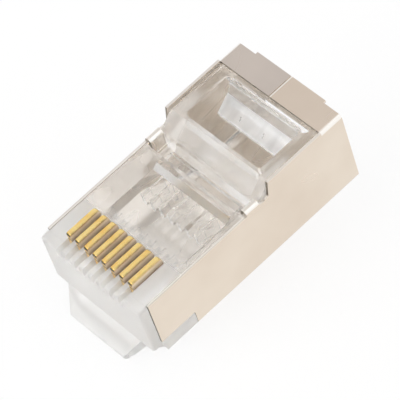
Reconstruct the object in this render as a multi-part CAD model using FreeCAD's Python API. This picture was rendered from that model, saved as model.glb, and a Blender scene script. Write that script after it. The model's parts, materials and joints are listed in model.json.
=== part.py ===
import FreeCAD, Part
import math
import os

# Shielded 8-position modular plug, before crimping, lying on its latch.
# Body frame while the pieces are made: x across the plug, y from the nose face
# to the cable end, z up towards the contacts, z = 0 under the shield floor.
V = FreeCAD.Vector

# ---- driving dimensions, mm ------------------------------------------------
SHIELD_W = 11.68          # width over the shield
SHIELD_LEN = 22.0         # rear edge of the shield walls
SHIELD_TOP = 8.04         # top of the rear band
SHEET = 0.24              # shield sheet thickness
SHEET_GAP = 0.04          # play between the shield and the moulding
SHIELD_FRONT = 0.93       # front edge of the shield walls behind the nose face
BAND_LEN = 2.20           # rear band over the top
TONGUE_W = 7.68           # tongue on the rear edge of the band
TONGUE_OUT = 0.25
BEND_OUT = 0.42           # outer bend radius of the sheet
SEAM = 0.07               # seam between the two top flaps
CUT_LEN = 3.49            # lower front cut-out of the shield walls
CUT_Z = 1.61
TAB_LEN = 1.35            # staking tabs, folded over the recess ends
TAB_DEPTH = 1.18

BODY_W = SHIELD_W - 2 * (SHEET + SHEET_GAP)
BODY_FLOOR = SHEET + SHEET_GAP
BODY_TOP = SHIELD_TOP - SHEET - SHEET_GAP
BODY_REAR = SHIELD_LEN - 0.25
BODY_TOP_LOW = 6.45       # low top in front of the ramp
RAMP_HEAD = 14.30         # 45 degree ramp up to the high rear part
RAMP_RUN = 1.45
RAMP_FOOT = RAMP_HEAD - RAMP_RUN

NOSE_W = SHIELD_W - 0.08
NOSE_TOP = BODY_TOP_LOW - 0.03
FLANGE = 0.85             # thickness of the full-width nose flange
FLANGE_Z = 1.32           # lower edge of the nose face
FOOT_FRONT = 1.25         # front of the foot that fills the cut-out of the shield

WALL_LOW = BODY_TOP_LOW + 0.03
STEP_HEAD = RAMP_HEAD - 0.28
STEP_RUN = 0.29
BAND_FRONT = SHIELD_LEN - BAND_LEN

CONTACTS = 8
PITCH = 1.02
CONTACT_T = 0.45
CONTACT_FRONT = 1.28
CONTACT_LEN = 3.14
CONTACT_PROUD = 0.75      # height of the blades over the body before crimping
CONTACT_H = 2.15          # blade height down to the tooth roots
TOOTH_H = 0.69
SLOT_PLAY = 0.05          # play all round a blade in its slot
LEAD_DEPTH = 0.73         # depth of the open slot in front of a blade

CHANNEL_R = 0.46          # wire channels under the contacts
CHANNEL_Z = 3.42
CHANNEL_TOP = 4.14
CHANNEL_WALL = 0.95       # nose wall that stops the conductors
CHANNEL_LEN = 4.95        # bores, then an open chamber, then the guide comb
CHAMBER_LEN = 2.15
COMB_LEN = 2.25
RIB_FRONT_LEN = 0.85
RIB_FRONT_W = 0.44
RIB_W = 0.20

CAVITY_W = 8.44           # cable cavity
CAVITY_FLOOR = BODY_FLOOR + 0.67
ROOF_CONDUCTORS = 4.75
ROOF_CABLE = BODY_TOP - 1.36
MOUTH_FLARE = 0.27
MOUTH_LEN = 0.80

WINDOW_W = 8.50
WINDOW_FRONT = RAMP_HEAD + 0.32
WINDOW_REAR = BAND_FRONT - 0.50

RECESS_LEN = 1.42         # recess of the conductor clamp
RECESS_REAR = RAMP_FOOT - 0.23
RECESS_FRONT = RECESS_REAR - RECESS_LEN
RECESS_W = BODY_W - 0.88

KNUCKLE_R = 0.15          # rounded hinge edge of the cable clamp bar
CLAMP_W = WINDOW_W - 0.90
CLAMP_TAPER = 0.42        # narrower by this on each side at its front edge
CLAMP_PIVOT = (WINDOW_REAR - KNUCKLE_R - 0.05, BODY_TOP - 0.26)
CLAMP_RIDGE = (WINDOW_REAR - 0.75, BODY_TOP - 1.04)
CLAMP_LIP = (CLAMP_RIDGE[0] - 1.67, BODY_TOP - 1.58)
CLAMP_DEPTH = 0.72
CATCH_W = 0.30            # two small catches on the clamp's sloping face
CATCH_X = 1.30

COND_KNUCKLE = 0.12       # rounded hinge edge of the conductor clamp bar
COND_W = CAVITY_W - 0.32
COND_H = 0.71
COND_PIVOT = (RECESS_FRONT + 0.03 + COND_KNUCKLE, ROOF_CONDUCTORS)

LATCH_ANGLE = 13.5
LATCH_W = 6.24
PIVOT = (-0.30, -0.62)    # living hinge of the latch, y and z
HINGE_R = 0.62
HINGE_PLAY = 0.04
LATCH_T = 1.05
SHOULDER = 8.70           # latch shoulder, along the latch
STEM_W = 3.24
STEM_T = 1.15
LATCH_LEN = 16.1
CHIN_W = 8.56
CHIN_FRONT = (-1.40, -0.44)


# ---- helpers ---------------------------------------------------------------
def prism(points, x0, x1):
    """Side profile of (y, z) points, extruded across the plug from x0 to x1."""
    ring = [V(x0, y, z) for y, z in points]
    face = Part.Face(Part.makePolygon(ring + [ring[0]]))
    return face.extrude(V(x1 - x0, 0, 0))


def box(x0, x1, y0, y1, z0, z1):
    return Part.makeBox(x1 - x0, y1 - y0, z1 - z0, V(x0, y0, z0))


def bar_x(y, z, r, x0, x1):
    return Part.makeCylinder(r, x1 - x0, V(x0, y, z), V(1, 0, 0))


def bar_y(x, z, r, y0, y1):
    return Part.makeCylinder(r, y1 - y0, V(x, y0, z), V(0, 1, 0))


def round_edges(shape, radius, wanted):
    edges = [e for e in shape.Edges if wanted(e)]
    return shape.makeFillet(radius, edges) if edges else shape


def along(edge, axis):
    a, b = edge.Vertexes[0].Point, edge.Vertexes[-1].Point
    d = b - a
    return d.Length > 1e-6 and abs(getattr(d, axis)) > 0.999 * d.Length


def mid(edge):
    a, b = edge.Vertexes[0].Point, edge.Vertexes[-1].Point
    return (a + b) * 0.5


def contact_x(i):
    return (i - (CONTACTS - 1) / 2.0) * PITCH


# ---- housing ---------------------------------------------------------------
def body_block():
    h = BODY_W / 2
    side = [
        (0.30, FLANGE_Z),
        (0.30, NOSE_TOP),
        (FLANGE, NOSE_TOP),
        (FLANGE, BODY_TOP_LOW),
        (RAMP_FOOT, BODY_TOP_LOW),
        (RAMP_HEAD, BODY_TOP),
        (BODY_REAR, BODY_TOP),
        (BODY_REAR, BODY_FLOOR),
        (FLANGE + 0.50, BODY_FLOOR),
        (FLANGE - 0.05, BODY_FLOOR + 0.47),
    ]
    block = prism(side, -h, h)
    ends = (BODY_FLOOR + 0.1, BODY_TOP - 0.1)
    return round_edges(
        block,
        BEND_OUT - SHEET + 0.04,
        lambda e: along(e, "y")
        and mid(e).y > FLANGE + 1
        and not ends[0] < mid(e).z < ends[1],
    )


def nose_flange():
    h = NOSE_W / 2
    flange = box(-h, h, 0, FLANGE, FLANGE_Z, NOSE_TOP)
    flange = round_edges(
        flange, 0.30, lambda e: along(e, "z") and mid(e).y < 0.01
    )
    return round_edges(
        flange, 0.28, lambda e: mid(e).z > NOSE_TOP - 0.01 and mid(e).y < 0.31
    )


def foot():
    """Full-width foot in the shield's lower front cut-out, flush with the sheet."""
    h = SHIELD_W / 2
    rear = SHIELD_FRONT + CUT_LEN - SHEET_GAP
    top = CUT_Z - SHEET_GAP
    side = [
        (FOOT_FRONT, 0),
        (rear, 0),
        (rear, top),
        (SHIELD_FRONT + SHEET_GAP, top),
        (SHIELD_FRONT + SHEET_GAP, FLANGE_Z - 0.35),
    ]
    block = prism(side, -h, h)
    return round_edges(block, BEND_OUT, lambda e: along(e, "y") and mid(e).z < 0.01)


def chin():
    """The latch root under the nose: flares out to the nose, ends at the hinge."""
    y0, z0 = CHIN_FRONT
    py, pz = PIVOT
    side = [
        (0.45, FLANGE_Z + 0.35),
        (0.02, FLANGE_Z + 0.02),
        (y0, z0),
        (y0 + 0.12, z0 - 0.38),
        (y0 + 0.45, z0 - 0.62),
        (py - 0.30, pz - 0.48),
        (py, pz),
        (py + 1.25, pz + 0.82),
        (FLANGE + 0.75, BODY_FLOOR + 0.05),
        (FLANGE + 0.75, FLANGE_Z),
    ]
    half = CHIN_W / 2
    block = prism(side, -half, half)
    block = round_edges(
        block,
        0.25,
        lambda e: along(e, "x") and mid(e).y < y0 + 0.2 and mid(e).z < z0 + 0.01,
    )
    front, low = y0 - 1, pz - 2
    for s in (-1, 1):
        ring = [
            V(s * half, front, FLANGE_Z),
            V(s * LATCH_W / 2, front, z0),
            V(s * LATCH_W / 2, front, low),
            V(s * (half + 1), front, low),
            V(s * (half + 1), front, FLANGE_Z),
        ]
        face = Part.Face(Part.makePolygon(ring + [ring[0]]))
        block = block.cut(face.extrude(V(0, BODY_REAR, 0)))
    socket = bar_x(py, pz, HINGE_R + HINGE_PLAY, -half - 1, half + 1)
    return block.cut(socket)


def contact_slots():
    """A slot for each blade, and its open front that lets a jack's spring in."""
    w = CONTACT_T / 2 + SLOT_PLAY
    y0 = CONTACT_FRONT - SLOT_PLAY
    y1 = CONTACT_FRONT + CONTACT_LEN + SLOT_PLAY
    floor = BODY_TOP_LOW - LEAD_DEPTH
    above = BODY_TOP_LOW + 1
    cuts = []
    for i in range(CONTACTS):
        x = contact_x(i)
        cuts.append(box(x - w, x + w, y0, y1, CHANNEL_Z, above))
        lead = [
            (-0.5, floor - 0.25),
            (0.35, floor),
            (CONTACT_FRONT, floor),
            (CONTACT_FRONT, above),
            (-0.5, above),
        ]
        cuts.append(prism(lead, x - w, x + w))
    return cuts


def wire_channels():
    """Bores for the conductors under the blades, open at the chamber behind."""
    r = CHANNEL_R
    y0 = CHANNEL_WALL
    y1 = CHANNEL_WALL + CHANNEL_LEN + 0.1
    cuts = []
    for i in range(CONTACTS):
        x = contact_x(i)
        cuts.append(bar_y(x, CHANNEL_Z, r, y0, y1))
        cuts.append(box(x - r, x + r, y0, y1, CHANNEL_Z, CHANNEL_TOP))
    return cuts


def chamber():
    y0 = CHANNEL_WALL + CHANNEL_LEN
    half = CAVITY_W / 2
    low = CHANNEL_Z - CHANNEL_R
    return box(-half, half, y0, y0 + CHAMBER_LEN + 0.05, low, CHANNEL_TOP)


def guide_comb(y0):
    """Ribs that spread the conductors; each has a thicker front half."""
    ribs = []
    low = CHANNEL_Z - 3 * CHANNEL_R
    for i in range(CONTACTS - 1):
        x = contact_x(i) + PITCH / 2
        a, b = RIB_FRONT_W / 2, RIB_W / 2
        step = y0 + RIB_FRONT_LEN
        ribs.append(box(x - a, x + a, y0, step, low, CHANNEL_TOP + 0.1))
        ribs.append(box(x - b, x + b, step, y0 + COMB_LEN, low, CHANNEL_TOP + 0.1))
    return ribs


def cable_cavity():
    y0 = CHANNEL_WALL + CHANNEL_LEN + CHAMBER_LEN
    y1 = y0 + COMB_LEN
    lip = CHANNEL_Z - CHANNEL_R
    side = [
        (BODY_REAR + 1, CAVITY_FLOOR - MOUTH_FLARE * (1 + 1 / MOUTH_LEN)),
        (BODY_REAR - MOUTH_LEN, CAVITY_FLOOR),
        (RECESS_REAR - 0.22, CAVITY_FLOOR),
        (y0 + RIB_FRONT_LEN, lip),
        (y0, lip),
        (y0, CHANNEL_TOP),
        (y1, CHANNEL_TOP),
        (y1 + 0.55, ROOF_CONDUCTORS),
        (RECESS_REAR + 0.20, ROOF_CONDUCTORS),
        (WINDOW_FRONT, ROOF_CABLE - 0.15),
        (WINDOW_FRONT + 0.1, ROOF_CABLE),
        (WINDOW_REAR + 0.5, ROOF_CABLE),
        (BODY_REAR - MOUTH_LEN, ROOF_CABLE + 0.45),
        (BODY_REAR + 1, ROOF_CABLE + 0.45 + MOUTH_FLARE * (1 + 1 / MOUTH_LEN)),
    ]
    hollow = prism(side, -CAVITY_W / 2, CAVITY_W / 2)
    hollow = round_edges(
        hollow,
        0.5,
        lambda e: along(e, "y") and mid(e).y > RECESS_REAR and mid(e).z < CHANNEL_Z,
    )
    return hollow.cut(guide_comb(y0))


def window():
    side = [
        (WINDOW_FRONT, ROOF_CABLE - 0.9),
        (WINDOW_FRONT, BODY_TOP + 1),
        (WINDOW_REAR, BODY_TOP + 1),
        (WINDOW_REAR, CLAMP_PIVOT[1] - 3 * KNUCKLE_R),
        (WINDOW_REAR + 0.45, ROOF_CABLE - 0.2),
    ]
    cut = prism(side, -WINDOW_W / 2, WINDOW_W / 2)
    return round_edges(cut, 0.3, lambda e: along(e, "z"))


def conductor_recess():
    half, low = RECESS_W / 2, COND_PIVOT[1] + 0.20
    cut = box(-half, half, RECESS_FRONT, RECESS_REAR, low, BODY_TOP_LOW + 1)
    half = CAVITY_W / 2
    slot = box(
        -half, half, RECESS_FRONT, RECESS_REAR, ROOF_CONDUCTORS - 0.35, low + 0.25
    )
    return cut.fuse(slot)


def tab_pockets():
    leg = SHIELD_W / 2 - 3 * SHEET
    y0 = tab_front() - 0.12
    low = WALL_LOW - TAB_DEPTH - 0.15
    cuts = []
    for s in (-1, 1):
        a, b = sorted((s * (leg - 0.08), s * (leg + SHEET + 0.04)))
        cuts.append(box(a, b, y0, y0 + TAB_LEN + 0.24, low, BODY_TOP))
    return cuts


def make_housing():
    body = body_block().fuse([nose_flange(), foot(), chin()])
    tools = contact_slots() + wire_channels() + tab_pockets()
    tools += [chamber(), cable_cavity(), window(), conductor_recess()]
    return body.cut(tools).removeSplitter()


# ---- latch -----------------------------------------------------------------
def make_latch():
    """Latch lever, drawn straight along +y from its hinge, then swung down."""
    py, pz = PIVOT
    under = -HINGE_R
    thick = under + LATCH_T
    half = LATCH_W / 2
    plate = prism(
        [
            (0, under),
            (SHOULDER, under),
            (SHOULDER, thick + 0.28),
            (SHOULDER - 1.6, thick + 0.28),
            (1.2, thick - 0.12),
            (0.25, HINGE_R - 0.32),
            (0, HINGE_R),
        ],
        -half,
        half,
    )
    root = bar_x(0, 0, HINGE_R, -half, half)
    stem = prism(
        [
            (SHOULDER - 1.0, under),
            (LATCH_LEN - 0.5, under),
            (LATCH_LEN, under + 0.45),
            (LATCH_LEN, under + STEM_T - 0.35),
            (LATCH_LEN - 0.35, under + STEM_T),
            (SHOULDER - 1.0, under + STEM_T),
        ],
        -STEM_W / 2,
        STEM_W / 2,
    )
    lever = plate.fuse([root, stem]).removeSplitter()
    lever = round_edges(
        lever,
        0.35,
        lambda e: along(e, "z")
        and abs(mid(e).y - SHOULDER) < 0.01
        and abs(abs(mid(e).x) - half) < 0.01,
    )
    lever = round_edges(
        lever,
        0.5,
        lambda e: along(e, "z") and mid(e).y > LATCH_LEN - 0.01,
    )
    lever.rotate(V(0, 0, 0), V(1, 0, 0), -LATCH_ANGLE)
    lever.translate(V(0, py, pz))
    return lever


# ---- clamps ----------------------------------------------------------------
def make_cable_clamp():
    """Wedge bar hung in the window by its rear top edge; narrower in front."""
    y, z = CLAMP_PIVOT
    lip_y, lip_z = CLAMP_LIP
    low = lip_z - CLAMP_DEPTH
    side = [
        (y, z + KNUCKLE_R),
        CLAMP_RIDGE,
        CLAMP_LIP,
        (lip_y + 0.08, low + 0.15),
        (lip_y + 0.35, low),
        (lip_y + 1.37, low),
        (y, z - KNUCKLE_R),
    ]
    half = CLAMP_W / 2
    bar = prism(side, -half, half)
    bar = bar.fuse(bar_x(y, z, KNUCKLE_R, -half, half))
    bar = bar.cut([catch_notch(-CATCH_X), catch_notch(CATCH_X)])
    rear, front = CLAMP_RIDGE[0], lip_y
    plan = [
        V(-half, y + 1, 0),
        V(-half, rear, 0),
        V(-half + CLAMP_TAPER, front, 0),
        V(half - CLAMP_TAPER, front, 0),
        V(half, rear, 0),
        V(half, y + 1, 0),
    ]
    face = Part.Face(Part.makePolygon(plan + [plan[0]]))
    outline = face.extrude(V(0, 0, SHIELD_TOP + 1))
    return bar.common(outline).removeSplitter()


def catch_notch(x):
    """Shallow T-shaped notch in the sloping face, sunk square to the face."""
    (y0, z0), (y1, z1) = CLAMP_LIP, CLAMP_RIDGE
    w = CATCH_W / 2
    head = box(x - w, x + w, 0.72, 0.86, -0.16, 1)
    stem = box(x - w / 2.5, x + w / 2.5, 0.45, 0.75, -0.16, 1)
    notch = head.fuse(stem)
    notch.rotate(V(0, 0, 0), V(1, 0, 0), math.degrees(math.atan2(z1 - z0, y1 - y0)))
    notch.translate(V(0, y0, z0))
    return notch


def make_conductor_clamp():
    """Light bar across the recess, hung by its front lower edge."""
    y, z = COND_PIVOT
    side = [
        (y, z - COND_KNUCKLE),
        (y, z + COND_KNUCKLE),
        (y + 0.10, z + COND_H),
        (RECESS_REAR - 0.40, z + COND_H),
        (RECESS_REAR - 0.30, z + COND_H - 0.15),
        (RECESS_REAR - 0.40, z - COND_KNUCKLE),
    ]
    half = COND_W / 2
    bar = prism(side, -half, half)
    knuckle = bar_x(y, z, COND_KNUCKLE, -half, half)
    return bar.fuse(knuckle).removeSplitter()


# ---- contacts --------------------------------------------------------------
def make_contact(i):
    """Blade with three piercing teeth and rounded top corners."""
    x = contact_x(i)
    f = CONTACT_FRONT
    r = CONTACT_FRONT + CONTACT_LEN
    top = BODY_TOP_LOW + CONTACT_PROUD
    root = top - CONTACT_H
    third = CONTACT_LEN / 3.0
    ring = [(f, top), (f, root)]
    for k in range(3):
        ring.append((f + (k + 0.5) * third, root - TOOTH_H))
        ring.append((f + (k + 1) * third, root))
    ring.append((r, top))
    blade = prism(ring, x - CONTACT_T / 2, x + CONTACT_T / 2)
    blade = round_edges(
        blade, 0.16, lambda e: along(e, "x") and mid(e).z > top - 0.01 and mid(e).y < f + 0.1
    )
    return round_edges(
        blade, 0.40, lambda e: along(e, "x") and mid(e).z > top - 0.01 and mid(e).y > r - 0.1
    )


# ---- shield ----------------------------------------------------------------
def tab_front():
    return RECESS_FRONT + 0.20


def sheet_section(top, closed):
    """Cross-section of the folded sheet between y = 0 and the rear edge."""
    h = SHIELD_W / 2
    y1 = SHIELD_LEN
    extra = 0 if closed else 2.0
    outer = box(-h, h, 0, y1, 0, top + extra)
    inner = box(-h + SHEET, h - SHEET, -1, y1 + 1, SHEET, top + extra - SHEET)
    outer = round_edges(outer, BEND_OUT, lambda e: along(e, "y"))
    inner = round_edges(inner, BEND_OUT - SHEET, lambda e: along(e, "y"))
    tube = outer.cut(inner)
    if not closed:
        tube = tube.cut(box(-h - 1, h + 1, -1, y1 + 2, top, top + extra + 1))
    return tube


def make_tab(s):
    """Tab folded over the moulded wall, its inner leg down in a pocket."""
    h = SHIELD_W / 2
    bend_x = h - 1.5 * SHEET
    bend_z = WALL_LOW + SHEET / 4
    y0 = tab_front()
    y1 = y0 + TAB_LEN
    arch = bar_y(bend_x, bend_z, 1.5 * SHEET, y0, y1)
    arch = arch.cut(bar_y(bend_x, bend_z, 0.5 * SHEET, y0, y1))
    arch = arch.cut(box(0, h + 1, y0 - 1, y1 + 1, 0, bend_z))
    leg = box(h - 3 * SHEET, h - 2 * SHEET, y0, y1, WALL_LOW - TAB_DEPTH, bend_z)
    post = box(h - SHEET, h, y0, y1, WALL_LOW - 0.1, bend_z)
    tab = arch.fuse([leg, post])
    if s < 0:
        tab = tab.mirror(V(0, 0, 0), V(1, 0, 0))
    return tab


def make_shield():
    h = SHIELD_W / 2
    far = h + 1
    high = SHIELD_TOP + 1
    rear = SHIELD_LEN + 1
    walls = sheet_section(SHIELD_TOP, False)
    foot = STEP_HEAD - STEP_RUN
    side_cut = [
        (-1, WALL_LOW),
        (foot - 0.35, WALL_LOW),
        (foot, WALL_LOW + 0.16),
        (STEP_HEAD, SHIELD_TOP),
        (STEP_HEAD, high),
        (-1, high),
    ]
    front_cut = prism(side_cut, -far, far)
    corner_cut = box(-far, far, -1, SHIELD_FRONT + CUT_LEN, -1, CUT_Z)
    start_cut = box(-far, far, -1, SHIELD_FRONT, -1, high)
    rear_cut = box(-far, far, BAND_FRONT, rear, -1, high)
    walls = walls.cut([front_cut, corner_cut, start_cut, rear_cut])
    band = sheet_section(SHIELD_TOP, True)
    band = band.cut(box(-far, far, -1, BAND_FRONT, -1, high))
    tongue = box(
        -TONGUE_W / 2,
        TONGUE_W / 2,
        SHIELD_LEN - 0.5,
        SHIELD_LEN + TONGUE_OUT,
        SHIELD_TOP - SHEET,
        SHIELD_TOP,
    )
    seam = box(-SEAM / 2, SEAM / 2, BAND_FRONT - 1, rear, SHIELD_TOP - 1, high)
    band = band.fuse(tongue).cut(seam)
    shield = walls.fuse([band, make_tab(1), make_tab(-1)])
    return shield.removeSplitter()


# ---- all pieces, laid down on the latch ------------------------------------
def make_all():
    parts = {
        "housing": make_housing(),
        "latch_lever": make_latch(),
        "cable_clamp_bar": make_cable_clamp(),
        "conductor_clamp_bar": make_conductor_clamp(),
        "shield": make_shield(),
    }
    for i in range(CONTACTS):
        parts["contact_%d" % (i + 1)] = make_contact(i)
    return parts


def lay_down(parts):
    """Tips the plug nose down until the latch lies flat, and centres it."""
    for shape in parts.values():
        shape.rotate(V(0, 0, 0), V(1, 0, 0), LATCH_ANGLE)
    whole = FreeCAD.BoundBox()
    for shape in parts.values():
        whole.add(shape.optimalBoundingBox(False))
    shift = V(0, -(whole.YMin + whole.YMax) / 2, -whole.ZMin)
    for shape in parts.values():
        shape.translate(shift)
    return shift


def main():
    os.makedirs("parts", exist_ok=True)
    parts = make_all()
    lay_down(parts)
    for name, shape in parts.items():
        shape.exportStep(os.path.join("parts", name + ".step"))


main()
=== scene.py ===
import json
import math
import bpy
from mathutils import Matrix, Quaternion, Vector

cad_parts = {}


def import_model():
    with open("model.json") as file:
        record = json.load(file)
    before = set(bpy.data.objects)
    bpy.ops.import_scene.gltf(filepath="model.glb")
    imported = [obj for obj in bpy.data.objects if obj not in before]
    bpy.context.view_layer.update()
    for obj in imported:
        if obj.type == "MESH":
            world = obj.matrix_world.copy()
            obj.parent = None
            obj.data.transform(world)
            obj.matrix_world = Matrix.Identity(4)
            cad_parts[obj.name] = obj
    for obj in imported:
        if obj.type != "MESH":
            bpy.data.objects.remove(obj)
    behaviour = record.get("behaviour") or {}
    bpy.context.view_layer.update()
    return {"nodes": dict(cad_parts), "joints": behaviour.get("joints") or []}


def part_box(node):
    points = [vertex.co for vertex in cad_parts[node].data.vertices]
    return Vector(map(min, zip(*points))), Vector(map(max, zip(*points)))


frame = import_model()
nodes = frame["nodes"]
MM = 0.001

# ---- the plug's own axes -------------------------------------------------------
# The plug lies nose down on its latch. Its own X runs across it, Y from the nose face
# to the cable end and Z up to the contacts, with Z = 0 under the shield floor.
TILT = math.radians(13.5)
HINGE_IN_PLUG = Vector((0, -0.30, -0.62)) * MM      # the latch's hinge, in those axes


def hinge_place(name):
    """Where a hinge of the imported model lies."""
    return Vector(next(joint["pos_m"] for joint in frame["joints"] if joint["name"] == name))


ORIGIN = hinge_place("latch_press") - Matrix.Rotation(TILT, 3, "X") @ HINGE_IN_PLUG


def in_plug_axes(point):
    """A point of the frame, turned into the plug's own axes."""
    return Matrix.Rotation(-TILT, 3, "X") @ (point - ORIGIN)


def middle_x(node):
    """Middle of a node's box across the plug."""
    low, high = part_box(node)
    return (low.x + high.x) / 2


BLADES = sorted(name for name in nodes if name.startswith("contact_"))
PITCH = abs(middle_x(BLADES[-1]) - middle_x(BLADES[0])) / (len(BLADES) - 1)
HALF_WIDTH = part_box("shield")[1].x      # to the outer face of the shield's side wall
BAND_TOP = max(in_plug_axes(vertex.co).z for vertex in nodes["shield"].data.vertices)
SHEET = 0.24 * MM      # thickness of the shield sheet

# ---- node helpers --------------------------------------------------------------
COLOUR_A, COLOUR_B, COLOUR_RESULT = 6, 7, 2      # sockets of the Mix node for colours
TONE_START, TONE_END = 0.3, 0.7      # noise values of a finish's darker and lighter tone


class Material:
    """A node material, with a short call for each kind of node that the finishes use."""

    def __init__(self, name):
        self.data = bpy.data.materials.new(name)
        self.data.use_nodes = True
        self.tree = self.data.node_tree
        self.tree.nodes.clear()
        self.place = self.tree.nodes.new("ShaderNodeTexCoord")

    def node(self, kind, **settings):
        node = self.tree.nodes.new(kind)
        for name, value in settings.items():
            setattr(node, name, value)
        return node

    def link(self, source, target):
        self.tree.links.new(source, target)

    def split(self, vector):
        """Outputs X, Y and Z of a vector."""
        node = self.node("ShaderNodeSeparateXYZ")
        self.link(vector, node.inputs[0])
        return node.outputs

    def normal(self):
        """Direction that the surface faces, in the frame's axes at rest."""
        return self.split(self.place.outputs["Normal"])

    def plug_place(self):
        """Place on the surface, in the plug's own axes at rest."""
        node = self.node("ShaderNodeMapping")
        node.inputs["Rotation"].default_value = (-TILT, 0, 0)
        node.inputs["Location"].default_value = in_plug_axes(Vector((0, 0, 0)))
        self.link(self.place.outputs["Object"], node.inputs["Vector"])
        return self.split(node.outputs[0])

    def noise(self, scale, detail, rough, stretch=(1, 1, 1), turn=0.0):
        """Noise over the surface, turned about X. A small stretch draws it out that way."""
        mapping = self.node("ShaderNodeMapping")
        mapping.inputs["Scale"].default_value = stretch
        mapping.inputs["Rotation"].default_value = (turn, 0, 0)
        self.link(self.place.outputs["Object"], mapping.inputs["Vector"])
        node = self.node("ShaderNodeTexNoise")
        node.inputs["Scale"].default_value = scale
        node.inputs["Detail"].default_value = detail
        node.inputs["Roughness"].default_value = rough
        self.link(mapping.outputs[0], node.inputs["Vector"])
        return node.outputs["Fac"]

    def calc(self, operation, *terms):
        """Result of a Math node, whose terms are numbers or other nodes' outputs."""
        node = self.node("ShaderNodeMath", operation=operation)
        for socket, term in zip(node.inputs, terms):
            if isinstance(term, (int, float)):
                socket.default_value = term
            else:
                self.link(term, socket)
        return node.outputs[0]

    def scaled(self, value, by):
        return self.calc("MULTIPLY", value, by)

    def size(self, value):
        return self.calc("ABSOLUTE", value)

    def ramp(self, value, stops):
        """Grey or colour for a value, between stops of (position, grey or colour)."""
        node = self.node("ShaderNodeValToRGB")
        elements = node.color_ramp.elements
        while len(elements) < len(stops):
            elements.new(0.5)
        for element, (position, tone) in zip(elements, stops):
            colour = tone if isinstance(tone, tuple) else (tone, tone, tone)
            element.position = position
            element.color = (*colour, 1)
        self.link(value, node.inputs["Fac"])
        return node.outputs["Color"]

    def fade(self, value, start, end, low=0.0, high=1.0):
        """From low to high, as the value goes from start to end."""
        return self.ramp(value, [(start, low), (end, high)])

    def tones(self, noise, pair):
        """Colour that varies between a darker and a lighter tone."""
        return self.fade(noise, TONE_START, TONE_END, *pair)

    def mix(self, share, first, second):
        """The first colour where the share is 0, the second where it is 1."""
        node = self.node("ShaderNodeMix", data_type="RGBA")
        self.link(share, node.inputs["Factor"])
        self.link(first, node.inputs[COLOUR_A])
        self.link(second, node.inputs[COLOUR_B])
        return node.outputs[COLOUR_RESULT]

    def bump(self, height, depth, strength):
        node = self.node("ShaderNodeBump")
        node.inputs["Strength"].default_value = strength
        node.inputs["Distance"].default_value = depth
        self.link(height, node.inputs["Height"])
        return node.outputs["Normal"]

    def finish(self, shader):
        """Puts the shader on the surface and gives the material."""
        output = self.node("ShaderNodeOutputMaterial")
        self.link(shader.outputs[0], output.inputs["Surface"])
        return self.data


# ---- clear plastic -------------------------------------------------------------
PLASTIC_IOR = 1.58         # polycarbonate
CLEAR_ROUGH = 0.05         # roughness where it is clear
FROST_ROUGH = 0.33         # what full frost adds to it
CLEAR_TONES = (0.985, 1.0)      # its greys there
FLOW_DEPTH = 0.03 * MM     # waves that the moulding left in the surface
NOSE_SPAN = 8.0 * MM       # the nose's frost has its stops in shares of this length
NOSE_FROST = 0.90          # frost of the nose round the blades


def clear_plastic(mat, haze, cloud, frost, tint, thick, milky):
    """Clear moulding that frost, from 0 to 1, clouds, roughens and makes milky."""
    shader = mat.node("ShaderNodeBsdfPrincipled")
    shader.inputs["IOR"].default_value = PLASTIC_IOR
    thick_tint = tuple(thick * part for part in tint)
    cloudy = mat.fade(cloud, 0.35, 0.65, low=tint, high=thick_tint)
    mat.link(mat.mix(frost, mat.tones(haze, CLEAR_TONES), cloudy), shader.inputs["Base Color"])
    rough = mat.calc("MULTIPLY_ADD", frost, FROST_ROUGH, CLEAR_ROUGH)
    mat.link(rough, shader.inputs["Roughness"])
    see_through = mat.calc("MULTIPLY_ADD", frost, -milky, 1.0)
    mat.link(see_through, shader.inputs["Transmission Weight"])
    flow = mat.noise(scale=260, detail=2, rough=0.5, stretch=(1.0, 0.35, 1.0), turn=-TILT)
    mat.link(mat.bump(flow, FLOW_DEPTH, strength=0.5), shader.inputs["Normal"])
    return mat.finish(shader)


def plastic_haze(mat):
    """Patches that all finishes of the moulding share."""
    return mat.noise(scale=420, detail=4, rough=0.6)


def housing_plastic():
    """Frosted nose that clears behind the blades, and half frosted faces towards the nose."""
    mat = Material("clear_polycarbonate")
    haze = plastic_haze(mat)
    along = mat.scaled(mat.plug_place()["Y"], 1 / NOSE_SPAN)
    nose = mat.ramp(along, [(0.12, 1.0), (0.20, NOSE_FROST), (0.52, NOSE_FROST), (0.75, 0.0)])
    forward = mat.fade(mat.scaled(mat.normal()["Y"], -1.0), 0.50, 0.65, high=0.55)
    frost = mat.calc("MAXIMUM", nose, forward)
    return clear_plastic(mat, haze, haze, frost, tint=(0.975, 0.97, 0.962), thick=0.99, milky=0.24)


def clamp_plastic():
    """Cable clamp bar, cloudy on its upper faces and less so on those towards the nose."""
    mat = Material("clear_clamp_bar")
    haze = plastic_haze(mat)
    cloud = mat.noise(scale=900, detail=3, rough=0.6, stretch=(1.0, 0.25, 0.25))
    normal = mat.normal()
    upper = mat.fade(normal["Z"], 0.75, 0.82, low=0.05)
    forward = mat.fade(mat.scaled(normal["Y"], -1.0), 0.85, 0.93, high=0.4)
    frost = mat.calc("MAXIMUM", upper, forward)
    return clear_plastic(mat, haze, cloud, frost, tint=(0.97, 0.97, 0.97), thick=0.74, milky=0.22)


def latch_plastic():
    """Latch, frosted all over but not evenly."""
    mat = Material("frosted_latch")
    haze = plastic_haze(mat)
    frost = mat.fade(haze, 0.2, 0.8, low=0.75)
    return clear_plastic(mat, haze, haze, frost, tint=(0.97, 0.97, 0.965), thick=0.99, milky=0.15)


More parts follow.
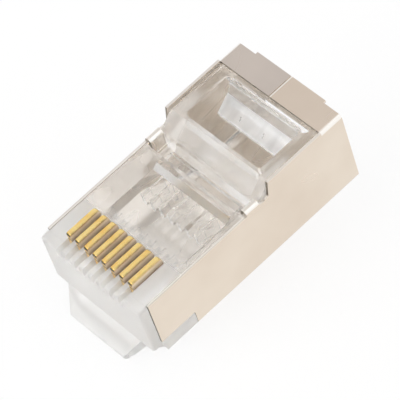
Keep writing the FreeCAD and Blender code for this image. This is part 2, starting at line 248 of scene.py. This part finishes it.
# ---- nickel plated sheet -------------------------------------------------------
# Each colour is a darker and a lighter tone; the highlight and front edge colours are painted
# light.
WALL = (0.76, 0.655, 0.545), (0.83, 0.735, 0.625)
LEFT_FLAP = (0.60, 0.53, 0.48), (0.68, 0.60, 0.54)
RIGHT_FLAP = (0.70, 0.59, 0.49), (0.77, 0.66, 0.56)
INSIDE = (0.72, 0.665, 0.60), (0.81, 0.755, 0.69)
# Painted highlight for the bends, the side walls' upper edges and the seam edge.
HIGHLIGHT_TONES = (0.95, 0.91, 0.85), (1.0, 0.97, 0.93)
# Painted shadow on the cut edges that face the nose.
FRONT_EDGE_SHADOW = (0.20, 0.17, 0.14), (0.30, 0.26, 0.21)
INSIDE_ROUGH = -0.02       # what the inner faces add to the roughness
INSIDE_METAL = -0.20       # and to the metallic value, which is 1 outside
SEAM_X = 0.10 * MM         # painted highlight along the right flap's edge at the seam
SEAM_HALF = 0.05 * MM      # and half its width
WALL_DEPTH = 1.05 * SHEET      # a side wall, with a little to spare
WALL_EDGE = 0.55           # how strong the painted highlight on the side walls' upper edges is
WAVE_DEPTH = 0.03 * MM


def inner_faces(mat, plug):
    """1 on the faces that look into the shield, 0 on the others."""
    within = mat.calc("LESS_THAN", mat.size(plug["X"]), HALF_WIDTH - SHEET / 2)
    above = mat.calc("GREATER_THAN", plug["Z"], SHEET / 2)
    below = mat.calc("LESS_THAN", plug["Z"], BAND_TOP - SHEET / 2)
    return mat.calc("MULTIPLY", mat.calc("MULTIPLY", within, above), below)


def highlight_places(mat, plug, normal):
    """Where highlights are painted: bends, upper edges of the side walls and the edge at the seam,
    from 0 to 1.
    """
    bend = mat.fade(mat.calc("MINIMUM", mat.size(normal["X"]), normal["Z"]), 0.20, 0.42)
    outermost = mat.calc("GREATER_THAN", mat.size(plug["X"]), HALF_WIDTH - WALL_DEPTH)
    upward = mat.calc("GREATER_THAN", normal["Z"], 0.60)
    wall_edge = mat.scaled(mat.calc("MULTIPLY", outermost, upward), WALL_EDGE)
    from_seam = mat.size(mat.calc("SUBTRACT", plug["X"], SEAM_X))
    near_seam = mat.calc("LESS_THAN", from_seam, SEAM_HALF)
    on_top = mat.calc("GREATER_THAN", plug["Z"], BAND_TOP - SHEET)
    seam = mat.calc("MULTIPLY", near_seam, on_top)
    return mat.calc("MAXIMUM", mat.calc("MAXIMUM", bend, wall_edge), seam)


def outer_colour(mat, tone, plug, normal):
    """Side walls, and the flaps left and right of the seam where the sheet faces up."""
    right = mat.calc("GREATER_THAN", plug["X"], 0.0)
    flaps = mat.mix(right, mat.tones(tone, LEFT_FLAP), mat.tones(tone, RIGHT_FLAP))
    return mat.mix(mat.fade(normal["Z"], 0.5, 0.9), mat.tones(tone, WALL), flaps)


def plated_sheet():
    """Warm grey sheet, with painted highlights on its bends, wall tops and seam edge, and painted
    shadow on the cut edges at the front.
    """
    mat = Material("nickel_plated_sheet")
    shader = mat.node("ShaderNodeBsdfPrincipled")
    plug = mat.plug_place()
    normal = mat.normal()
    tone = mat.noise(scale=140, detail=3, rough=0.55)
    inner = inner_faces(mat, plug)
    faces = mat.mix(inner, outer_colour(mat, tone, plug, normal), mat.tones(tone, INSIDE))
    # Painted highlights over the sheet's colour on bends, wall tops and the seam edge.
    highlighted = mat.mix(highlight_places(mat, plug, normal), faces, mat.tones(tone, HIGHLIGHT_TONES))
    # Painted shadow: a dark line on the cut edges that face the nose, where the sheet's thickness
    # casts shade.
    edge_shadow = mat.fade(mat.scaled(normal["Y"], -1.0), 0.90, 0.95)
    mat.link(mat.mix(edge_shadow, highlighted, mat.tones(tone, FRONT_EDGE_SHADOW)), shader.inputs["Base Color"])
    smudge = mat.noise(scale=300, detail=1, rough=0.5, stretch=(1.0, 0.4, 1.0))
    smudged = mat.fade(smudge, 0.3, 0.75, low=0.27, high=0.32)
    mat.link(mat.calc("MULTIPLY_ADD", inner, INSIDE_ROUGH, smudged), shader.inputs["Roughness"])
    mat.link(mat.calc("MULTIPLY_ADD", inner, INSIDE_METAL, 1.0), shader.inputs["Metallic"])
    wave = mat.noise(scale=150, detail=2, rough=0.5)
    mat.link(mat.bump(wave, WAVE_DEPTH, strength=0.08), shader.inputs["Normal"])
    return mat.finish(shader)


# ---- gold plated blades --------------------------------------------------------
# Each colour is a darker and a lighter tone; the dark patch is painted shade.
GOLD = (0.97, 0.63, 0.19), (1.0, 0.80, 0.35)
OLIVE_GOLD = (0.60, 0.43, 0.19), (0.93, 0.69, 0.31)
SIDE_HIGH = (0.90, 0.73, 0.55), (1.0, 0.87, 0.69)
# Bare alloy colour, darkened by painted shade low down on the sides.
SIDE_SHADED_LOW = (0.50, 0.40, 0.29), (0.68, 0.55, 0.42)
# Painted shade for the blades' front ends.
PAINTED_SHADE_PATCH = (0.03, 0.012, 0.0), (0.10, 0.05, 0.01)
HEIGHT_ZERO = 6.3          # heights on a blade, in mm, count from here in the plug's Z
GRAIN_DEPTH = 0.01 * MM
# Painted shade on the front end of a blade: a shadow line where it enters the plastic and a dark
# spot at its top corner. Height in mm, and how dark.
FRONT_SHADE_BANDS = [
    (0.16, 0.0), (0.20, 0.8), (0.28, 0.8), (0.34, 0.0),
    (0.56, 0.0), (0.64, 1.0), (0.84, 1.0), (0.90, 0.0),
]


def side_colour(mat, height):
    """Bare alloy of the flat sides, with a grain along the blade, and painted shade that darkens
    them low down between the blades.
    """
    grain = mat.noise(scale=1500, detail=3, rough=0.6, stretch=(1, 0.2, 1))
    # Painted shade: the sides darken towards their foot, between the blades.
    lift = mat.fade(height, 0.35, 0.62)
    return mat.mix(lift, mat.tones(grain, SIDE_SHADED_LOW), mat.tones(grain, SIDE_HIGH))


def plated_colour(mat, height, plug, normal):
    """Gold of the top and the front, darker olive along the right, with painted shade as dark
    patches in front.
    """
    tone = mat.noise(scale=900, detail=3, rough=0.6)
    blotch = mat.noise(scale=2600, detail=3, rough=0.6)
    pitches = mat.calc("MULTIPLY_ADD", plug["X"], 1 / PITCH, len(BLADES) / 2)
    # Darker olive strip along the right of each blade's top.
    olive_strip = mat.fade(mat.calc("FRACT", pitches), 0.58, 0.66, high=0.7)
    gold = mat.mix(olive_strip, mat.tones(tone, GOLD), mat.tones(blotch, OLIVE_GOLD))
    forward = mat.fade(mat.scaled(normal["Y"], -1.0), 0.55, 0.75)
    # Painted shade: dark patches on the blades' front ends.
    front_shade = mat.calc("MULTIPLY", forward, mat.ramp(height, FRONT_SHADE_BANDS))
    return mat.mix(front_shade, gold, mat.tones(tone, PAINTED_SHADE_PATCH))


def gold_plate():
    """Gold on the top and front of a blade, bare alloy on its sides below the top edge."""
    mat = Material("gold_plated_blade")
    shader = mat.node("ShaderNodeBsdfPrincipled")
    shader.inputs["Metallic"].default_value = 1.0
    plug = mat.plug_place()
    normal = mat.normal()
    height = mat.calc("MULTIPLY_ADD", plug["Z"], 1 / MM, -HEIGHT_ZERO)
    sideways = mat.fade(mat.size(normal["X"]), 0.80, 0.95)
    under_top = mat.fade(height, 0.74, 0.80, low=1.0, high=0.0)
    side = mat.calc("MULTIPLY", sideways, under_top)
    colour = mat.mix(side, plated_colour(mat, height, plug, normal), side_colour(mat, height))
    mat.link(colour, shader.inputs["Base Color"])
    speck = mat.noise(scale=3000, detail=3, rough=0.6)
    mat.link(mat.fade(speck, 0.3, 0.75, low=0.16, high=0.30), shader.inputs["Roughness"])
    grain = mat.noise(scale=2500, detail=2, rough=0.5, stretch=(1, 0.2, 1))
    mat.link(mat.bump(grain, GRAIN_DEPTH, strength=0.5), shader.inputs["Normal"])
    return mat.finish(shader)


# ---- finishes and bevels of the CAD nodes --------------------------------------
SHIELD_BEVEL = 0.06 * MM
SHIELD_BEVEL_ANGLE = math.radians(50.0)      # edges flatter than this stay as they are
BLADE_BEVEL = 0.03 * MM
BLADE_BEVEL_ANGLE = math.radians(30.0)
WELD = 0.001 * MM          # vertices nearer than this are joined before the bevel


def dress(node, material):
    slots = nodes[node].data.materials
    slots.clear()
    slots.append(material)


def soften(node, width, angle):
    """Rounds the sharp edges of a node by modifiers, which leave its own mesh alone."""
    weld = nodes[node].modifiers.new("weld", "WELD")
    weld.merge_threshold = WELD
    bevel = nodes[node].modifiers.new("bevel", "BEVEL")
    bevel.width = width
    bevel.segments = 2
    bevel.limit_method = "ANGLE"
    bevel.angle_limit = angle


def dress_plug():
    """Gives each CAD node its finish, and the metal its small bevels."""
    plastic = housing_plastic()
    dress("housing", plastic)
    dress("conductor_clamp_bar", plastic)
    dress("cable_clamp_bar", clamp_plastic())
    dress("latch_lever", latch_plastic())
    dress("shield", plated_sheet())
    soften("shield", SHIELD_BEVEL, SHIELD_BEVEL_ANGLE)
    gold = gold_plate()
    for blade in BLADES:
        dress(blade, gold)
        soften(blade, BLADE_BEVEL, BLADE_BEVEL_ANGLE)


# ---- floor, light, camera ------------------------------------------------------
FLOOR_SIZE = 2.0
FLOOR_DROP = 0.02 * MM     # gap under the plug, so that the two never share a face
FLOOR_TONES = (0.93, 0.95)
FLOOR_GLOW = 0.8           # share of plain white in the floor, as the camera sees it
STUDIO_LEFT = 0.84         # level of the surround, left and right of the plug
STUDIO_RIGHT = 1.0
STUDIO_REACH = 0.5         # it changes while the direction's X is less than this
LAMP_AIM = Vector((0, 0, 7)) * MM
BOUNCES = 32               # light crosses many walls of clear plastic

AZIMUTH = math.radians(50.31)      # of the camera, from the nose towards the right side
ELEVATION = math.radians(45.20)
ROLL = math.radians(3.26)
TARGET = Vector((0.0758, -0.1469, 7.7345)) * MM      # what it looks straight at
DISTANCE = 0.260
LENS = 302.6               # mm
SENSOR = 36.0              # mm
CLIP_NEAR = 0.02
CLIP_FAR = 5.0


def floor():
    """Pale matt floor, nearly white where it is seen directly, mirrored or through glass."""
    bpy.ops.mesh.primitive_plane_add(size=FLOOR_SIZE, location=(0, 0, -FLOOR_DROP))
    plane = bpy.context.object
    plane.name = "floor"
    mat = Material("pale_floor")
    matt = mat.node("ShaderNodeBsdfDiffuse")
    speckle = mat.noise(scale=30, detail=2, rough=0.5)
    mat.link(mat.tones(speckle, FLOOR_TONES), matt.inputs["Color"])
    glow = mat.node("ShaderNodeEmission")
    glow.inputs["Color"].default_value = (1, 1, 1, 1)
    glow.inputs["Strength"].default_value = 1.0
    ray = mat.node("ShaderNodeLightPath").outputs
    mirrored = mat.calc("MAXIMUM", ray["Is Camera Ray"], ray["Is Glossy Ray"])
    seen = mat.calc("MAXIMUM", mirrored, ray["Is Transmission Ray"])
    both = mat.node("ShaderNodeMixShader")
    mat.link(mat.scaled(seen, FLOOR_GLOW), both.inputs["Fac"])
    mat.link(matt.outputs[0], both.inputs[1])
    mat.link(glow.outputs[0], both.inputs[2])
    plane.data.materials.append(mat.finish(both))


def world():
    """Pale studio, a little darker on the left of the plug."""
    studio = bpy.data.worlds.new("studio")
    bpy.context.scene.world = studio
    studio.use_nodes = True
    tree = studio.node_tree
    background = tree.nodes["Background"]
    background.inputs["Strength"].default_value = 1.0
    direction = tree.nodes.new("ShaderNodeTexCoord")
    split = tree.nodes.new("ShaderNodeSeparateXYZ")
    level = tree.nodes.new("ShaderNodeMapRange")
    level.inputs["From Min"].default_value = -STUDIO_REACH
    level.inputs["From Max"].default_value = STUDIO_REACH
    level.inputs["To Min"].default_value = STUDIO_LEFT
    level.inputs["To Max"].default_value = STUDIO_RIGHT
    tree.links.new(direction.outputs["Generated"], split.inputs[0])
    tree.links.new(split.outputs["X"], level.inputs["Value"])
    tree.links.new(level.outputs[0], background.inputs["Color"])


def softbox(name, place, size, watts):
    """Rectangular lamp that is aimed at the plug."""
    light = bpy.data.lights.new(name, "AREA")
    light.shape = "RECTANGLE"
    light.size, light.size_y = size
    light.energy = watts
    lamp = bpy.data.objects.new(name, light)
    lamp.location = place
    lamp.rotation_mode = "QUATERNION"
    lamp.rotation_quaternion = (LAMP_AIM - lamp.location).to_track_quat("-Z", "Y")
    bpy.context.scene.collection.objects.link(lamp)


def camera():
    """Camera at the photograph's viewing angle."""
    level = math.cos(ELEVATION)
    back = Vector((math.sin(AZIMUTH) * level, -math.cos(AZIMUTH) * level, math.sin(ELEVATION)))
    optics = bpy.data.cameras.new("camera")
    optics.lens = LENS
    optics.sensor_width = SENSOR
    optics.clip_start = CLIP_NEAR
    optics.clip_end = CLIP_FAR
    eye = bpy.data.objects.new("camera", optics)
    eye.location = TARGET + back * DISTANCE
    eye.rotation_mode = "QUATERNION"
    eye.rotation_quaternion = Quaternion(back, -ROLL) @ (-back).to_track_quat("-Z", "Y")
    bpy.context.scene.collection.objects.link(eye)
    bpy.context.scene.camera = eye


dress_plug()
floor()
world()
softbox("softbox_right", place=(0.27, 0.04, 0.42), size=(0.30, 0.30), watts=0.06)
softbox("softbox_front", place=(-0.05, -0.45, 0.22), size=(0.40, 0.25), watts=0.9)
camera()
bpy.context.scene.view_settings.view_transform = "Standard"
bpy.context.scene.cycles.max_bounces = BOUNCES
bpy.context.scene.cycles.transmission_bounces = BOUNCES
bpy.context.scene.cycles.glossy_bounces = BOUNCES
bpy.context.scene.cycles.blur_glossy = 0.0      # keeps mirrored reflections sharp
